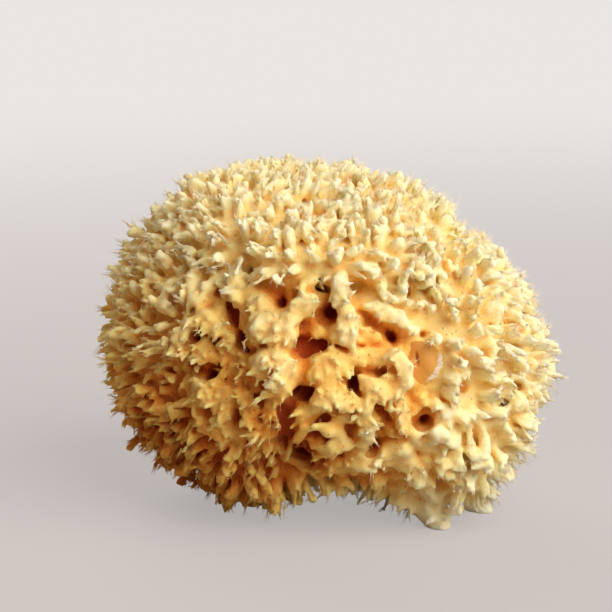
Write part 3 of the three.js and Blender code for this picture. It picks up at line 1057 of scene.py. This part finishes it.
def fibre_material():
    material, tree, shader = new_material("sponge_fibre")
    tone = stored_tone(tree)
    rest = stored(tree, "rest", "Vector")
    streaks = noise_on(tree, stored(tree, "grain", "Vector"), STREAK_SCALE)
    cloud = noise_on(tree, rest, CLOUD_SCALE)
    shade = sum_of(tree, tone, (streaks, STREAK_SHARE), (cloud, CLOUD_SHARE))
    dots = node(tree, "ShaderNodeTexVoronoi", {"Vector": rest, "Scale": PORE_SCALE})
    dotted = ramp(tree, dots.outputs["Distance"], PORE_DOTS)
    closed = math_node(tree, "MAXIMUM", dotted, ramp(tree, tone, PORE_SKIN))
    mixed = {"Factor": closed, "A": PORE_COLOUR, "B": ramp(tree, shade, FIBRE_TONES)}
    fill(tree, shader, {
        "Base Color": node(tree, "ShaderNodeMix", mixed, data_type="RGBA").outputs["Result"],
        "Normal": bump(tree, sum_of(tree, closed, (streaks, 1.0)), strength=0.5, distance=0.0005),
        "Roughness": 0.85,
        "Specular IOR Level": 0.2,
        "Subsurface Weight": 0.7,
        "Subsurface Radius": (1.0, 0.6, 0.25),
        "Subsurface Scale": 0.0034,
    })
    return material


def hair_material():
    """The same fibre where it is too thin for light to spread in it."""
    material, tree, shader = new_material("fine_fibre")
    colour = ramp(tree, stored_tone(tree), FIBRE_TONES)
    fill(tree, shader, {"Base Color": colour, "Roughness": 1.0, "Specular IOR Level": 0.0})
    return material


def shell_material():
    material, tree, shader = new_material("shell")
    growth = noise_on(tree, stored(tree, "grain", "Vector"), GROWTH_SCALE)
    fill(tree, shader, {
        "Base Color": ramp(tree, stored_tone(tree), SHELL_TONES),
        "Normal": bump(tree, growth, strength=0.28, distance=0.0003),
        "Roughness": 0.5,
        "Specular IOR Level": 0.25,
    })
    return material


# Pieces: the skin of each lobe
def nearest_lobe(points):
    labels = np.zeros(len(points), dtype=int)
    nearest = np.full(len(points), 1e9)
    for index, (seat, axes, radii) in enumerate(lobe_frames.values()):
        x, y, z = (points - seat).T
        distance = ellipsoid_distance((x, y, z), np.zeros(3), axes, radii)
        closer = distance < nearest
        labels[closer] = index
        nearest[closer] = distance[closer]
    return labels


def add_object(name, data):
    made = bpy.data.objects.new(name, data)
    scene.collection.objects.link(made)
    return made


def store(mesh, name, kind, part, values):
    layer = mesh.attributes.new(name, kind, "POINT")
    layer.data.foreach_set(part, values.astype(np.float32).ravel())


def mesh_piece(name, points, faces, tones, grain, material):
    """A piece that keeps its tone, its rest place and its grain at each point."""
    mesh = bpy.data.meshes.new(name)
    mesh.vertices.add(len(points))
    mesh.vertices.foreach_set("co", (points * MM).astype(np.float32).ravel())
    mesh.loops.add(faces.size)
    mesh.loops.foreach_set("vertex_index", faces.astype(np.int32).ravel())
    mesh.polygons.add(len(faces))
    mesh.polygons.foreach_set("loop_start", np.arange(0, faces.size, faces.shape[1], dtype=np.int32))
    mesh.update(calc_edges=True)
    mesh.validate()
    store(mesh, "tone", "FLOAT_COLOR", "color", np.stack([tones, tones, tones, np.ones(len(tones))], axis=1))
    store(mesh, "rest", "FLOAT_VECTOR", "vector", points * MM)
    store(mesh, "grain", "FLOAT_VECTOR", "vector", grain * MM)
    mesh.shade_smooth()
    mesh.materials.append(material)
    return add_object(name, mesh)


def follow_squeeze(piece):
    """Bakes the piece's place into its mesh."""
    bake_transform(piece)


def tone_from(levels):
    at_skin, by_rise, by_room_shade = levels
    # The last share paints shade into the tone where the fibre is crowded, in pits and between tufts
    return at_skin + by_rise * rise + by_room_shade * (0.5 - crowding)


fur_tone = tone_from(FUR_TONE)
bare_tone = tone_from(BARE_TONE)
# Painted light on the zone at the feet
bare_tone += FOOT_PAINTED_LIGHT * zone_share(zone_level(vertices, FOOT_ZONE))
bare = zone_share(bare_level(vertices))
bare *= np.clip(-FACING_GAIN * (outward @ forward), 0.0, 1.0)
# Rusty tint and painted shade, darker toward the floor and the left side
rust_and_shade = np.clip(1.0 - vertices[:, 2] / RUST_AND_SHADE_HEIGHT, 0.0, 1.0)
rust_and_shade *= np.clip((RUST_AND_SHADE_SIDE[1] - vertices[:, 0]) / (RUST_AND_SHADE_SIDE[1] - RUST_AND_SHADE_SIDE[0]), 0.0, 1.0)
skin_tone = np.clip(fur_tone + bare * (bare_tone - fur_tone) - RUST_AND_SHADE_TONE * rust_and_shade, 0.0, 1.0)
skin_labels = nearest_lobe(vertices)[quads[:, 0]]
fibre = fibre_material()
for index, name in enumerate(LOBES):
    faces = quads[skin_labels == index]
    used, local = np.unique(faces, return_inverse=True)
    local = local.reshape(faces.shape)
    skin = mesh_piece(name + "_skin", vertices[used], local, skin_tone[used], fibre_grain[used], fibre)
    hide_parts(name)
    follow_squeeze(skin)
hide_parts("upper_core")
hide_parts("lower_core", *FEET)


# Fine fibre on what stands out
def unit_rows(rows):
    return rows / np.linalg.norm(rows, axis=1, keepdims=True)


def spike_mesh(root, tip):
    """One closed spike of three sides from each root to its tip."""
    way = unit_rows(tip - root)
    across = unit_rows(np.cross(way, SPIKE_TURN))
    deep = np.cross(way, across)
    corners = []
    for turn in (0.0, 2 * math.pi / 3, 4 * math.pi / 3):
        corners.append(root + HAIR_RADIUS * (math.cos(turn) * across + math.sin(turn) * deep))
    first = len(HAIR_CELL) * np.arange(len(root))[:, None, None]
    return np.stack([*corners, tip], axis=1), first + SPIKE_FACES


def grow_hairs():
    """Points, faces and tones of brushes of hairs whose tips draw together."""
    standing_out = np.clip((0.5 - crowding) / HAIR_ROOM, 0.0, 1.0) * np.clip(rise - HAIR_RISE, 0.0, 1.0)
    standing_out *= vertices[:, 2] > HAIR_LOWEST
    comb = [field.noise(COMB_WAVELENGTH, rng) for _ in range(3)]
    picked = rng.choice(len(vertices), HAIR_BRUSHES, replace=False, p=standing_out / standing_out.sum())
    centre = vertices[picked]
    out = outward[picked]
    way = HAIR_ALONG_TUFT * field.normals(field.values, centre) + HAIR_OFF_SKIN * out
    way += HAIR_COMB * np.stack([field.sample(noise, centre) for noise in comb], axis=1)
    sweep = HAIR_SWEEP * np.clip(-out[:, 1:2], 0, 1)
    way += sweep + BRUSH_SCATTER * rng.standard_normal(way.shape)
    way = unit_rows(way)
    reach = rng.uniform(*HAIR_LENGTH, HAIR_BRUSHES) * (0.5 + standing_out[picked])
    each = np.repeat(np.arange(HAIR_BRUSHES), HAIRS_IN_BRUSH)
    root = centre[each] + HAIR_SPREAD * rng.standard_normal((len(each), 3)) - HAIR_SINK * way[each]
    far = reach[each] * rng.uniform(*LENGTH_SPREAD, len(each))
    tip = centre[each] + far[:, None] * (way[each] + HAIR_SCATTER * rng.standard_normal((len(each), 3)))
    clear = (tip[:, 2] > HAIR_CLEAR) & (root[:, 2] > HAIR_CLEAR)
    tones = np.clip(skin_tone[picked] + rng.uniform(*HAIR_TONE, HAIR_BRUSHES), 0.0, 1.0)[each][clear]
    points, faces = spike_mesh(root[clear], tip[clear])
    return points.reshape(-1, 3), faces.reshape(-1, 3), np.repeat(tones, points.shape[1])


def map_hairs(mesh):
    """A cell of the map for each hair."""
    corners_each = len(HAIR_CELL)
    hairs_number = len(mesh.vertices) // corners_each
    across = math.ceil(math.sqrt(hairs_number))
    number = np.arange(hairs_number)
    cell = np.stack([number % across, number // across], axis=1)
    corners = np.empty(len(mesh.loops), dtype=np.int32)
    mesh.loops.foreach_get("vertex_index", corners)
    places = (cell[corners // corners_each] + HAIR_CELL[corners % corners_each]) / across
    mesh.uv_layers.new(name="OFBake").data.foreach_set("uv", places.astype(np.float32).ravel())


hair_points, hair_faces, hair_tones = grow_hairs()
hairs = mesh_piece("fine_hairs", hair_points, hair_faces, hair_tones, hair_points, hair_material())
map_hairs(hairs.data)
follow_squeeze(hairs)


# Flake of shell
def flake_faces():
    """Two sheets of triangles around their middles, joined along the rim."""
    sheet_size = FLAKE_ROWS * FLAKE_SIDES + 1
    rim = (FLAKE_ROWS - 1) * FLAKE_SIDES
    faces = []
    for k in range(FLAKE_SIDES):
        m = (k + 1) % FLAKE_SIDES
        front = [[sheet_size - 1, k, m]]
        for low in range(0, rim, FLAKE_SIDES):
            high = low + FLAKE_SIDES
            front.append([low + k, high + k, high + m])
            front.append([low + k, high + m, low + m])
        faces.extend(front)
        faces.extend([sheet_size + corner for corner in face[::-1]] for face in front)
        faces.append([rim + k, sheet_size + rim + k, sheet_size + rim + m])
        faces.append([rim + k, sheet_size + rim + m, rim + m])
    return np.array(faces)


def flake_points():
    """Points and tones of a cupped oval with a split down its middle and a broken white edge on the right;
    the tones hold painted light on the right side and painted shade in the split.
    """
    turn = np.arange(FLAKE_SIDES) * 2 * math.pi / FLAKE_SIDES
    from_break = np.angle(np.exp(1j * (turn + BREAK_TURN)))
    broken = np.exp(-((from_break / BREAK_SPREAD) ** 2))
    jag = rng.uniform(-1, 1, FLAKE_SIDES)
    edge = 1 + OUTLINE_WAVES[0] * np.sin(2 * turn + 0.6) + OUTLINE_WAVES[1] * np.sin(3 * turn + 1)
    edge += broken * (JAG_SIZE * jag - JAG_CUT)
    points, tones = [], []
    for sheet in (0, 1):
        for row in range(1, FLAKE_ROWS + 1):
            share = row / FLAKE_ROWS
            x = FLAKE_HALF_WIDTH * share * edge * np.cos(turn)
            y = FLAKE_HALF_HEIGHT * share * edge * np.sin(turn)
            dome = FLAKE_DOME * (1 - share**2.2) + FLAKE_TILT * x
            split = np.exp(-(((x + SPLIT_ASIDE + SPLIT_LEAN * y) / SPLIT_WIDTH) ** 2))
            split *= np.clip(1.2 - np.abs(y - SPLIT_UP) / SPLIT_LENGTH, 0, 1)
            curl = FLAKE_CURL * broken * np.clip((share - CURL_EDGE[0]) / CURL_EDGE[1], 0, 1) ** 2
            ripple = FACE_WAVES[0] * share * np.sin(2 * turn + 0.8)
            ripple += FACE_WAVES[1] * np.sin(1.1 * x + 0.6 * y)
            z = dome - SPLIT_DEPTH * split + curl + ripple - FLAKE_WALL * sheet * (1 - RIM_THIN * share**6)
            white = np.clip((share - WHITE_EDGE[0]) / WHITE_EDGE[1], 0, 1) * np.clip(1.6 * broken - 0.3, 0, 1)
            points.append(np.stack([x, y, z], axis=1))
            # Painted light toward the right, painted shade toward the left and in the split
            tone = FLAKE_TONE + RIGHT_PAINTED_LIGHT * np.cos(turn) * share
            tones.append(tone - SPLIT_PAINTED_SHADE * split + TONE_BROKEN * white)
        points.append(np.array([[0.0, 0.0, FLAKE_DOME - FLAKE_WALL * sheet]]))
        tones.append(np.array([FLAKE_TONE]))
    return np.concatenate(points), np.clip(np.concatenate(tones), 0, 1)


flat_points, flake_tones = flake_points()
placed = flake_place + flat_points @ np.array([flake_across, flake_up, flake_out])
flake = mesh_piece("shell_flake_form", placed, flake_faces(), flake_tones, flat_points, shell_material())
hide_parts("shell_flake")
follow_squeeze(flake)


# Floor, light and camera
def show_glow(tree, share, lit, glow, output):
    """Shows the plain pale tone in the given share, and the lit surface in the rest."""
    mix = node(tree, "ShaderNodeMixShader", {"Fac": share, 1: lit.outputs[0], 2: glow.outputs[0]})
    tree.links.new(mix.outputs[0], output.inputs["Surface"])


def camera_ray(tree):
    return node(tree, "ShaderNodeLightPath", {}).outputs["Is Camera Ray"]


def floor_finish():
    """Matte near the object, where it takes the shadow, and more of the plain tone further out."""
    material, tree, shader = new_material("floor_pale")
    fill(tree, shader, {"Base Color": (0.40, 0.36, 0.35, 1), "Roughness": 0.9})
    glow = node(tree, "ShaderNodeEmission", {"Color": STAGE_TONE})
    place = node(tree, "ShaderNodeTexCoord", {}).outputs["Object"]
    distance = node(tree, "ShaderNodeVectorMath", {0: place}, operation="LENGTH").outputs["Value"]
    levels = {"Value": distance, "From Min": 0.1, "From Max": 0.9, "To Min": 0.5}
    fade = node(tree, "ShaderNodeMapRange", levels, interpolation_type="SMOOTHSTEP")
    seen = math_node(tree, "MULTIPLY", camera_ray(tree), fade.outputs["Result"])
    show_glow(tree, seen, shader, glow, tree.nodes["Material Output"])
    return material


bpy.ops.mesh.primitive_plane_add(size=FLOOR_SIZE)
floor = bpy.context.object
floor.name = "floor"
floor.data.materials.append(floor_finish())

world = bpy.data.worlds.new("studio")
scene.world = world
world.use_nodes = True
sky_tree = world.node_tree
sky = sky_tree.nodes["Background"]
fill(sky_tree, sky, {"Color": (1.0, 0.66, 0.52, 1), "Strength": 0.15})
sky_glow = node(sky_tree, "ShaderNodeBackground", {"Color": STAGE_TONE})
show_glow(sky_tree, camera_ray(sky_tree), sky, sky_glow, sky_tree.nodes["World Output"])


def area_light(name, place, size, power, colour):
    light = bpy.data.lights.new(name, "AREA")
    light.size = size
    light.energy = power
    light.color = colour
    lamp = add_object(name, light)
    lamp.location = place
    lamp.rotation_euler = (Vector(LAMP_AIM) - Vector(place)).to_track_quat("-Z", "Y").to_euler()


area_light("key", (0.46, -0.5, 0.55), size=0.8, power=10.2, colour=(1.0, 0.96, 0.92))
area_light("back", (-0.35, 0.75, 0.5), size=0.7, power=5.0, colour=(1.0, 0.95, 0.90))

camera_data = bpy.data.cameras.new("camera")
camera_data.sensor_width = SENSOR_WIDTH
camera_data.lens = SENSOR_WIDTH * focal_pixels / IMAGE_PIXELS
camera_data.shift_x = -(AIM_PIXEL[0] - IMAGE_PIXELS / 2) / IMAGE_PIXELS
camera_data.shift_y = (AIM_PIXEL[1] - IMAGE_PIXELS / 2) / IMAGE_PIXELS
camera_data.clip_start = 0.01
camera = add_object("camera", camera_data)
camera.location = camera_place * MM
camera.rotation_euler = (math.radians(90 - CAMERA_ELEVATION), 0, 0)
bpy.context.scene.camera = camera
scene.view_settings.view_transform = "Standard"
